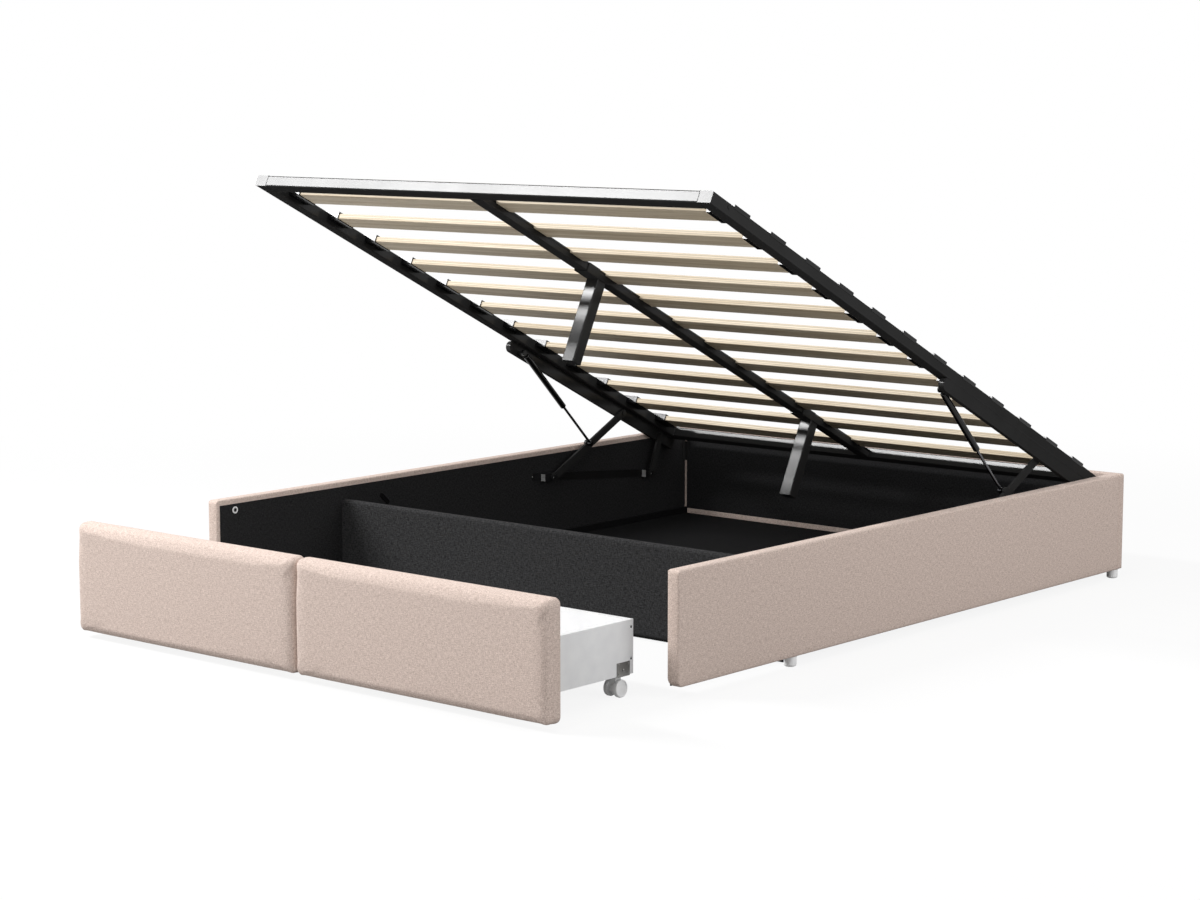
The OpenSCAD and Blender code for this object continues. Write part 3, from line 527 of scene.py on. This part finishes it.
def merge(*lists):
    """All places in order, without those that nearly coincide."""
    places = sorted({round(v, 6) for items in lists for v in items})
    kept = [places[0]]
    for v in places[1:]:
        if v - kept[-1] > 0.04 * MM:
            kept.append(v)
    return kept


# ---------------------------------------------------------------- padded drawer fronts

SWELL = 1.6 * MM                                       # room for the crown and the puckers
CORNER, CORNER_STEPS = 16 * MM, 8
# how far in the roll of each edge reaches, and how deep it goes
ROLL_TOP, ROLL_SIDE, ROLL_FOOT = (38 * MM, 26 * MM), (17 * MM, 17 * MM), (22 * MM, 13 * MM)
ROLL_REAR = 8 * MM
ROLL_END, CLOSING, FLAT = 42 * MM, 24 * MM, 66 * MM    # past the rolls the corners close, up to the flat grid
FACE_ROWS = (66, 61, 56, 51, 46, 42)                   # insets of the rings between grid and rolls, in mm
ROLL_BEND = 0.84                                       # below 1 the rolls are fuller than a round


def padded_front(side):
    """A foam front under cloth: full rolls along its edges, a crown, and a margin turned over at the rear
    round the board that closes it."""
    node = "front_pad_" + side
    lo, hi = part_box(node)
    b_lo, b_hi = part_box("front_board_" + side)
    seed = 3 if side == "left" else 5
    x0, x1, z0, z1 = lo.x + 0.7 * MM, hi.x - 0.7 * MM, lo.z + 0.8 * MM, hi.z - 0.5 * MM
    front, back = lo.y + SWELL, hi.y
    depth = back - front
    w, h = x1 - x0, z1 - z0
    cx, cz = (x0 + x1) / 2, (z0 + z1) / 2
    step = 6 * MM
    n_long, n_short = int((w - 2 * CORNER) / step), int((h - 2 * CORNER) / step)

    outline = []                              # (quadrant or side, arc or run, place along it)
    for k in range(4):
        outline += [(k, "arc", i / CORNER_STEPS) for i in range(CORNER_STEPS + 1)]
        n = n_long if k % 2 == 0 else n_short
        outline += [(k, "run", i / n) for i in range(1, n)]
    signs = ((1, 1), (-1, 1), (-1, -1), (1, -1))

    def spot(k, kind, t, inset, tight):
        """A point of the outline, drawn in by inset; its corners open up over the roll, then close."""
        wide = CORNER + 0.3 * min(inset, ROLL_END)
        r = max(CORNER - inset, 0.0) if tight else wide * (1 - ease((inset - ROLL_END) / CLOSING))
        hx, hz = max(w / 2 - inset - r, 0.0), max(h / 2 - inset - r, 0.0)

        def at(q, a):
            sx, sz = signs[q % 4]
            return Vector((sx * hx + r * math.cos(a), sz * hz + r * math.sin(a)))
        if kind == "arc":
            return at(k, math.radians(90 * (k + t)))
        a = math.radians(90 * (k + 1))
        return at(k, a).lerp(at(k + 1, a), t)

    def roll_of(k, kind, t, part):
        """How far the roll reaches in (part 0) and how deep it goes (part 1) at a point of the outline."""
        own = (ROLL_TOP, ROLL_SIDE, ROLL_FOOT, ROLL_SIDE)
        turn = [(own[i][part] + own[i - 1][part]) / 2 for i in range(4)]
        if kind == "arc":
            return turn[k]
        along = (w if k % 2 == 0 else h) - 2 * CORNER
        left, right = (1 - ease(v * along / (95 * MM)) for v in (t, 1 - t))
        return own[k][part] + (turn[k] - own[k][part]) * left + (turn[(k + 1) % 4] - own[k][part]) * right

    rolls = [(roll_of(*item, 0), roll_of(*item, 1)) for item in outline]

    def crown(px, pz):
        fx, fz = abs(px) / (w / 2), abs(pz) / (h / 2)
        return SWELL * 0.5 * (1 - fx ** 7) * (1 - fz ** 3)

    def puckers(px, pz):
        """Soft waves of the cloth along the top and the ends, fading towards the middle."""
        top = ease((pz - h / 2 + 75 * MM) / (60 * MM))
        ends = ease((abs(px) - w / 2 + 80 * MM) / (70 * MM))
        return (0.7 * MM * top * wave(px / (95 * MM), pz / (260 * MM), seed)
                + 0.35 * MM * ends * wave(px / (200 * MM), pz / (75 * MM), seed + 1)
                + 0.6 * MM * wave(px / (260 * MM), pz / (170 * MM), seed + 2))

    rows = []

    def add_row(inset_of, depth_of, soft=True):
        """A ring, by how far in and how far back each of its points lies, given the roll there."""
        row = []
        for item, roll in zip(outline, rolls):
            inset, back_by = inset_of(roll), depth_of(roll)
            p = spot(*item, inset, not soft)
            y = front + back_by
            if soft:
                fade = (1 - min(back_by / depth, 1.0)) ** 1.5
                y -= fade * (crown(p.x, p.y) + puckers(p.x, p.y))
            row.append(Vector((cx + p.x, min(y, back), cz + p.y)))
        rows.append(row)

    for inset in FACE_ROWS:
        add_row(lambda r: inset * MM, lambda r: 0.0)
    for i in range(0, 13):                    # over the roll
        a = math.radians(90 * i / 12)
        add_row(lambda r: r[0] * (1 - math.sin(a) ** ROLL_BEND),
                lambda r: r[1] * (1 - math.cos(a) ** ROLL_BEND))
    for i in range(1, 4):                     # along the edge, towards the rear
        add_row(lambda r: 0.0, lambda r: r[1] + (depth - r[1] - ROLL_REAR) * i / 4)
    for i in range(0, 5):                     # round the rear edge
        a = math.radians(90 * i / 4)
        add_row(lambda r: ROLL_REAR * (1 - math.cos(a)),
                lambda r: depth - ROLL_REAR + ROLL_REAR * math.sin(a), False)
    margin = b_lo.x - x0 if side == "right" else x1 - b_hi.x
    margin -= 0.6 * MM
    pocket = b_hi.y - b_lo.y + 0.4 * MM
    for inset, back_by in (((ROLL_REAR + margin) / 2, depth - 0.3 * MM), (margin - 0.5 * MM, depth),
                           (margin, depth - 0.8 * MM), (margin + 0.1 * MM, depth - pocket)):
        add_row(lambda r: inset, lambda r: back_by, False)
    reach = h / 2 * 0.996
    for i in range(1, 8):                     # behind the board
        add_row(lambda r: margin + (reach - margin) * i / 7, lambda r: depth - pocket, False)
    bm, inner = loft(rows, close_first=False)

    grid = {}                                 # the face's points by column and row, the inner ring first
    for (k, kind, t), vert in zip(outline, inner):
        if kind == "arc":
            grid[((n_long, n_short), (0, n_short), (0, 0), (n_long, 0))[k]] = vert
        elif k % 2 == 0:
            i = round(t * n_long)
            grid[(n_long - i, n_short) if k == 0 else (i, 0)] = vert
        else:
            i = round(t * n_short)
            grid[(0, n_short - i) if k == 1 else (n_long, i)] = vert
    for i in range(1, n_long):
        for j in range(1, n_short):
            px, pz = (w - 2 * FLAT) * (i / n_long - 0.5), (h - 2 * FLAT) * (j / n_short - 0.5)
            grid[(i, j)] = bm.verts.new((cx + px, front - crown(px, pz) - puckers(px, pz), cz + pz))
    for i in range(n_long):
        for j in range(n_short):
            bm.faces.new((grid[(i, j)], grid[(i + 1, j)], grid[(i + 1, j + 1)], grid[(i, j + 1)]))
    bmesh.ops.remove_doubles(bm, verts=bm.verts, dist=0.3 * MM)
    pad = piece("padded_front_" + side, bm, linen, "drawer_" + side)
    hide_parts(node)
    plump(pad, lambda co: co.y > back - 16 * MM, 3 * MM, lo, hi)


def plump(obj, held, cap, lo, hi):
    """Blow the cloth up from inside with Blender's Cloth, and keep what it did as the mesh itself,
    never further than cap and never out of the box."""
    start = [v.co.copy() for v in obj.data.vertices]
    group = obj.vertex_groups.new(name="held")
    group.add([i for i, co in enumerate(start) if held(co)], 1.0, "REPLACE")
    mod = obj.modifiers.new("cloth", "CLOTH")
    s = mod.settings
    s.quality = 5
    s.mass = 0.3
    s.tension_stiffness = s.compression_stiffness = 15
    s.shear_stiffness = 6
    s.bending_stiffness = 1.5
    s.use_pressure = True
    s.uniform_pressure_force = 4
    s.effector_weights.gravity = 0
    s.vertex_group_mass = "held"
    mod.collision_settings.use_self_collision = False
    mod.point_cache.frame_start, mod.point_cache.frame_end = 1, 20
    for n in range(1, 17):
        scene.frame_set(n)
    view = obj.evaluated_get(bpy.context.evaluated_depsgraph_get())
    moved = [v.co.copy() for v in view.data.vertices]
    obj.modifiers.remove(mod)
    obj.vertex_groups.clear()
    scene.frame_set(1)
    for v, a, b in zip(obj.data.vertices, start, moved):
        d = (b - a) * cap / (cap + (b - a).length)
        v.co = [min(max(c, low), high) for c, low, high in zip(a + d, lo, hi)]
    obj.data.update()


for side in SIDES:
    padded_front(side)


# ---------------------------------------------------------------- upholstered rails and head panel

END_ROWS = (16, 12, 8, 5, 2.5, 1)                      # insets of the rings that close an end, in mm
END_REACH = 16 * MM
TUCK, TUCK_LENGTH = 10 * MM, 40 * MM                   # the rails' inner foot rounds off at the free end


def slab(length, thick, z_lo, z_hi, place, first, last, inner_z, inner_depth, stations, top_roll, bulge,
         tuck):
    """A board under thin foam and cloth, as rings round its length. place gives a point for the length u
    along the board, the depth p from its inner to its outer face, and the height z.
    first and last give the rounding of its two ends: (outer, inner, top, foot, crown).
    inner_z are the heights of points on the inner face, and inner_depth(u, z) says how far it is sunk there.
    top_roll(u) rounds the outer top edge, bulge(u, z) is the foam's swell, tuck rounds the inner foot."""

    def ring(u, pull, cap=None):
        """One ring at u; pull draws its four sides in. cap closes an end: how far all sides are drawn in
        and how far the ring stands out along the length."""
        r_out, r_in, r_top, r_foot = pull
        p0, p1 = r_in, thick - 1.0 * MM - r_out
        a0, a1 = z_lo + r_foot, z_hi - 0.7 * MM - r_top
        roll = max(top_roll(u) - max(r_out, r_top), 0.8 * MM)
        foot = max(6 * MM - max(r_out, r_foot), 0.8 * MM)
        lip, heel = max(4 * MM - max(r_in, r_top), 0.6 * MM), max(2 * MM - max(r_in, r_foot), 0.5 * MM)
        heel = max(heel, tuck * (1 - ease(u / TUCK_LENGTH)))
        pts = []

        def out_face(z):
            f = (z - (z_lo + z_hi) / 2) / ((z_hi - z_lo) / 2)
            return p1 + bulge(u, z) * (0.4 if r_out else 1 - abs(f) ** 5), z
        hem = a1 - roll - 1.6 * MM
        low, n_out = a0 + foot, 22
        for i in range(n_out):
            pts.append(out_face(low + (hem - 3 * MM - low) * i / (n_out - 1)))
        pts.append((p1 + 0.1 * MM, hem - 1.4 * MM))
        pts.append((p1 - 0.55 * MM, hem))
        for i in range(7):
            a = math.radians(90 * i / 6)
            pts.append((p1 - roll + roll * math.cos(a), a1 - roll + roll * math.sin(a)))
        span = (p1 - roll) - (p0 + lip)
        for i in range(1, 4):
            rise = 0.5 * MM * math.sin(math.pi * i / 4) + 0.35 * MM * wave(u / 0.11, i * 0.6, 9)
            pts.append((p1 - roll - span * i / 4, a1 + rise * (0 if r_top > 0.2 * MM else 1)))
        for i in range(5):
            a = math.radians(90 + 90 * i / 4)
            pts.append((p0 + lip + lip * math.cos(a), a1 - lip + lip * math.sin(a)))
        for z in inner_z:
            z_in = min(max(z, a0 + heel), a1 - lip - HAIR)
            pts.append((max(p0, inner_depth(u, z)), z_in))
        for i in range(4):
            a = math.radians(180 + 90 * i / 3)
            pts.append((p0 + heel + heel * math.cos(a), a0 + heel + heel * math.sin(a)))
        for i in range(1, 3):
            pts.append((p0 + heel + (p1 - foot - p0 - heel) * i / 3, a0))
        for i in range(4):
            a = math.radians(270 + 90 * i / 4)
            pts.append((p1 - foot + foot * math.cos(a), a0 + foot + foot * math.sin(a)))
        if not cap:
            return [place(u, p, z) for p, z in pts]
        inset, out = cap
        mid_p, mid_z = (p0 + p1) / 2, (a0 + a1) / 2
        hp, hz = max((p1 - p0) / 2 - inset, HAIR), max((a1 - a0) / 2 - inset, HAIR)
        return [place(u + out, mid_p + max(-hp, min(hp, p - mid_p)), mid_z + max(-hz, min(hz, z - mid_z)))
                for p, z in pts]

    def pulls(u):
        return tuple(max(rim(u, first[i]), rim(length - u, last[i])) for i in range(4))

    def end(u, crown, way):
        """The rings that close an end, from its middle outwards."""
        made = []
        for inset in END_ROWS:
            inset *= MM
            out = -way * crown * (1 - (1 - min(inset / END_REACH, 1)) ** 2)
            made.append(ring(u, pulls(u), (inset, out)))
        return made

    rows = end(0.0, first[4], 1)
    rows += [ring(u, pulls(u)) for u in stations]
    rows += reversed(end(length, last[4], -1))
    bm = loft(rows)[0]
    bmesh.ops.remove_doubles(bm, verts=bm.verts, dist=0.02 * MM)
    return bm


def upholster(node, bm):
    """Show a slab in place of its solid."""
    cover = piece("upholstered_" + node, bm, linen, "bed_box", sharp=50)
    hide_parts(node)


def upholstered_rail(side):
    """A side rail: u runs from its free end to the head panel."""
    node = "side_rail_" + side
    lo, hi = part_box(node)
    l_lo, l_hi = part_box("rail_lining_" + side)
    i_lo, i_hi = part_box("rail_inserts")
    way = -1 if side == "left" else 1
    seed = 11 if side == "left" else 17
    inner = min(abs(lo.x), abs(hi.x))
    length = hi.y - lo.y
    end_gap = 0.8 * MM
    lined_from, lined_to = l_lo.y - lo.y, l_hi.z       # the lining's start along the rail, and its top
    lining_t = l_hi.x - l_lo.x + HAIR
    ins_u, ins_z = (i_lo.y + i_hi.y) / 2 - lo.y, (i_lo.z + i_hi.z) / 2
    well, well_depth = 8 * MM, 18 * MM                 # the square recess behind the threaded insert
    well_u = (ins_u - well - HAIR, ins_u - well + HAIR, ins_u + well - HAIR, ins_u + well + HAIR)

    def inner_depth(u, z):
        if u < lined_from or z > lined_to:
            return 0.0
        if abs(u - ins_u) < well and abs(z - ins_z) < well:
            return well_depth
        return lining_t

    def bulge(u, z):
        """A sewn groove near the free end, then the foam's swell, rippled near the head."""
        if u < 30 * MM:
            return -0.5 * MM * math.exp(-((u - 9 * MM) / (1.3 * MM)) ** 2)
        soft = ease((u - 20 * MM) / (120 * MM)) * ease((length - u) / (60 * MM))
        puff = 0.5 * MM * soft + 0.55 * MM * soft * wave(u / 0.19, z / 0.15, seed)
        near = ease((u - length + 0.22) / 0.2)
        high = ease((z - hi.z + 0.09) / 0.08)
        return puff + near * high * 0.9 * MM * wave(u / 0.03 + z / 0.05, z / 0.2, seed + 1)

    def top_roll(u):
        near = ease((u - length + 0.55) / 0.4)
        ripple = near * (2.5 + 4.5 * wave(u / 0.075, 1.0, seed + 3))
        return (6.2 + 1.6 * wave(u / 0.16, 0.0, seed + 2) + ripple) * MM

    def place(u, p, z):
        return Vector((way * (inner + p), lo.y + end_gap + u * (length - end_gap) / length, z))

    stations = merge([u * MM for u in (0, 0.3, 1, 2, 3.4, 5, 7, 8, 9, 10, 14, 18)],
                     [lined_from - HAIR, lined_from + HAIR], well_u,
                     spaced(18 * MM, length - 0.25, 14 * MM), spaced(length - 0.25, length - 3 * MM, 6 * MM),
                     [length - u * MM for u in (1.2, 0.7, 0.3, 0)])
    inner_z = [hi.z - 8 * MM, lined_to + HAIR, lined_to - HAIR, ins_z + well + HAIR, ins_z + well - HAIR,
               ins_z, ins_z - well + HAIR, ins_z - well - HAIR]
    inner_z += [ins_z - well - (ins_z - well - lo.z - 4 * MM) * i / 9 for i in range(1, 10)]
    first, last = (6 * MM, 4 * MM, 10 * MM, 18 * MM, 0.75 * MM), (1.2 * MM, 0, 1.2 * MM, 1.2 * MM, 0.0)
    upholster(node, slab(length, hi.x - lo.x, lo.z, hi.z, place, first, last, inner_z, inner_depth, stations,
                         top_roll, bulge, TUCK))


def upholstered_head():
    """The head panel: u runs from its left end to its right one."""
    lo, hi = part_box("head_panel")
    l_lo, l_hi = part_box("head_lining")
    length = hi.x - lo.x
    lining_t = l_hi.y - l_lo.y + HAIR

    def inner_depth(u, z):
        return lining_t if l_lo.x < lo.x + u < l_hi.x and l_lo.z < z < l_hi.z else 0.0

    def bulge(u, z):
        soft = ease(u / (90 * MM)) * ease((length - u) / (90 * MM))
        return 0.5 * MM * soft + 0.6 * MM * soft * wave(u / 0.2, z / 0.16, 23)

    def top_roll(u):
        near = max(ease((70 * MM - u) / (60 * MM)), ease((u - length + 70 * MM) / (60 * MM)))
        return (13 + 1.5 * wave(u / 0.13, 0.0, 29) + 2.0 * near * wave(u / 0.018, 0.0, 31)) * MM

    def place(u, p, z):
        return Vector((lo.x + 0.5 * MM + u * (length - 1 * MM) / length, lo.y + p, z))

    edge = [u * MM for u in (0, 0.3, 1, 2, 3.4, 5, 7, 9, 11.5, 14)]
    stations = merge(edge, [length - e for e in edge], spaced(14 * MM, 120 * MM, 5 * MM),
                     spaced(length - 120 * MM, length - 14 * MM, 5 * MM),
                     spaced(120 * MM, length - 120 * MM, 14 * MM),
                     [x - lo.x + d for x in (l_lo.x, l_hi.x) for d in (-HAIR, HAIR)])
    inner_z = [hi.z - 8 * MM, hi.z - 22 * MM, l_hi.z + HAIR, l_hi.z - HAIR]
    inner_z += [l_hi.z - (l_hi.z - l_lo.z) * i / 12 for i in range(1, 12)]
    inner_z += [l_lo.z + HAIR, l_lo.z - HAIR, l_lo.z - 8 * MM]
    ends = (14 * MM, 1.2 * MM, 7 * MM, 7 * MM, 0.45 * MM)
    upholster("head_panel", slab(length, hi.y - lo.y, lo.z, hi.z, place, ends, ends, inner_z, inner_depth,
                                 stations, top_roll, bulge, 0.0))


for side in SIDES:
    upholstered_rail(side)
upholstered_head()

# ---------------------------------------------------------------- screws, rivets, welds and staples

ROUND, HEXAGON = 24, 6
# a turned head from its foot to the bottom of its hollow: (share of the radius, share of the height, hollow)
HEAD_PROFILE = ((1.0, -0.3, False), (1.0, 0.55, False), (0.84, 0.9, False), (0.6, 1.0, False),
                (0.46, 0.95, True), (0.42, 0.2, True))


def pin(bm, at, axis, r, high, socket):
    """A low turned head on a face, with a round or six-sided hollow in it."""
    turn = Vector((0, 0, 1)).rotation_difference(Vector(axis)).to_matrix()
    rows = []
    for width, rise, hollow in HEAD_PROFILE:
        row = []
        for i in range(ROUND):
            a = 2 * math.pi * i / ROUND
            facet = 1.0
            if hollow and socket == HEXAGON:
                facet = math.cos(math.pi / 6) / math.cos(a % (math.pi / 3) - math.pi / 6)
            reach = r * width * facet
            row.append(Vector(at) + turn @ Vector((reach * math.cos(a), reach * math.sin(a), high * rise)))
        rows.append(row)
    loft(rows, bm=bm)


def bead(bm, path, r, seed, closed=False):
    """A round wire or weld bead along a path, a little uneven."""
    rows = []
    for i, at in enumerate(path):
        before = path[i - 1] if i or closed else at
        after = path[(i + 1) % len(path)] if closed or i + 1 < len(path) else at
        ahead = (after - before).normalized()
        across = ahead.cross(Vector((0.31, 0.52, 0.79))).normalized()
        up = ahead.cross(across)
        fat = r * (1 + 0.25 * wave(i * 0.7, 0.0, seed))
        rows.append([at + across * fat * math.cos(a) + up * fat * math.sin(a)
                     for a in (2 * math.pi * k / 8 for k in range(8))])
    if closed:
        rows.append(rows[0])
    loft(rows, bm=bm)


def drawer_screws(side):
    """Two screws at each rear corner of a drawer box, on both of its sides."""
    lo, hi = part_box("drawer_box_" + side)
    bm = bmesh.new()
    faces = (hi.x, 1), (lo.x, -1)
    for x, face in faces if side == "right" else reversed(faces):
        for z in (hi.z - 18 * MM, lo.z + 36 * MM):
            pin(bm, (x, hi.y - 8 * MM, z), (face, 0, 0), 2.6 * MM, 0.5 * MM, HEXAGON)
    piece("drawer_screws_" + side, bm, black_plastic, "drawer_" + side, sharp=35)


def caster_rivets(side):
    """On each caster plate a rivet in the middle and a screw in each corner."""
    lo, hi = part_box("caster_plates_" + side)
    bm = bmesh.new()
    for y in (lo.y + 22.5 * MM, hi.y - 22.5 * MM):
        for x, face in ((hi.x, 1), (lo.x, -1)):
            pin(bm, (x, y, hi.z - 19 * MM), (face, 0, 0), 3.1 * MM, 0.9 * MM, ROUND)
            for dy in (-17 * MM, 17 * MM):
                for z in (hi.z - 5 * MM, lo.z + 8 * MM):
                    pin(bm, (x, y + dy, z), (face, 0, 0), 2.1 * MM, 0.7 * MM, HEXAGON)
    piece("caster_rivets_" + side, bm, zinc_steel, "drawer_" + side, sharp=35)


def pad_staples(side):
    """Staples that hold the turned-over cloth, all round the rear of a front."""
    lo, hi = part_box("front_pad_" + side)
    pitch, edge = 46 * MM, 9 * MM
    bm = bmesh.new()
    spots = [(x, z, True) for z in (lo.z + edge, hi.z - edge)
             for x in spaced(lo.x + 34 * MM, hi.x - 34 * MM, pitch)]
    spots += [(x, z, False) for x in (lo.x + edge, hi.x - edge)
              for z in spaced(lo.z + 40 * MM, hi.z - 40 * MM, pitch)]
    for i, (x, z, level_way) in enumerate(spots):
        lean = 0.25 * wave(i * 1.7, 0.0, 41)
        near, far = math.cos(lean), math.sin(lean)
        run = Vector((near, 0, far) if level_way else (far, 0, near))
        mid, into = Vector((x, hi.y - 0.15 * MM, z)), Vector((0, 1, 0))
        one, other = mid - run * 5 * MM, mid + run * 5 * MM
        bead(bm, [one - into * 2 * MM, one - into * 0.3 * MM, mid - run * 4.4 * MM,
                  mid + run * 4.4 * MM, other - into * 0.3 * MM, other - into * 2 * MM], 0.45 * MM, i)
    piece("pad_staples_" + side, bm, zinc_steel, "drawer_" + side, sharp=60)


def frame_welds():
    """Weld beads round both ends of the foot tube and the head tube."""
    bm = bmesh.new()
    lift = Matrix.Rotation(-TILT, 3, "X")
    for tube in ("foot_tube", "head_tube"):
        spots = [level(v.co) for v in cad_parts[tube].data.vertices]
        a, b = ([pick(v[i] for v in spots) for i in range(3)] for pick in (min, max))
        for x in (a[0], b[0]):
            corners = [Vector((x, y, z)) for y, z in ((a[1], a[2]), (b[1], a[2]), (b[1], b[2]), (a[1], b[2]))]
            path = [lift @ corners[i].lerp(corners[(i + 1) % 4], k / 9) for i in range(4) for k in range(9)]
            bead(bm, path, 0.75 * MM, 51, closed=True)
    piece("frame_welds", bm, black_steel, "platform", sharp=80)


for side in SIDES:
    drawer_screws(side)
    caster_rivets(side)
    pad_staples(side)
frame_welds()
